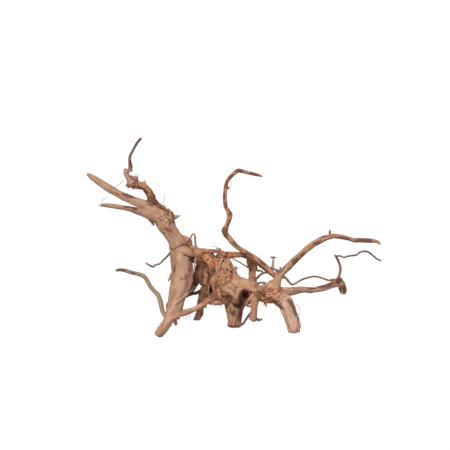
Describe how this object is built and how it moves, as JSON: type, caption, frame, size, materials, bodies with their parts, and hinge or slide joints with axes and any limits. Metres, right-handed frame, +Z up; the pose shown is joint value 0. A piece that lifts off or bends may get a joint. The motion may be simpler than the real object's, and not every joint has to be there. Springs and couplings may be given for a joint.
{
  "type": "grapevine wood",
  "caption": "Gnarled piece of root wood that stands on its own cut feet, arched underneath, with slim branches that spread to both sides.",
  "frame": {"origin": "on the surface it stands on, in the middle of its footprint box", "axes": "+Z up, +X towards the long branches on the right as seen from the front, +Y towards the back"},
  "size_m": [0.3722, 0.1106, 0.2407],
  "materials": {
    "wood": "dull, bare and partly stripped of its bark"
  },
  "bodies": {
    "root": {"grapevine_wood": "wood"}
  },
  "joints": []
}
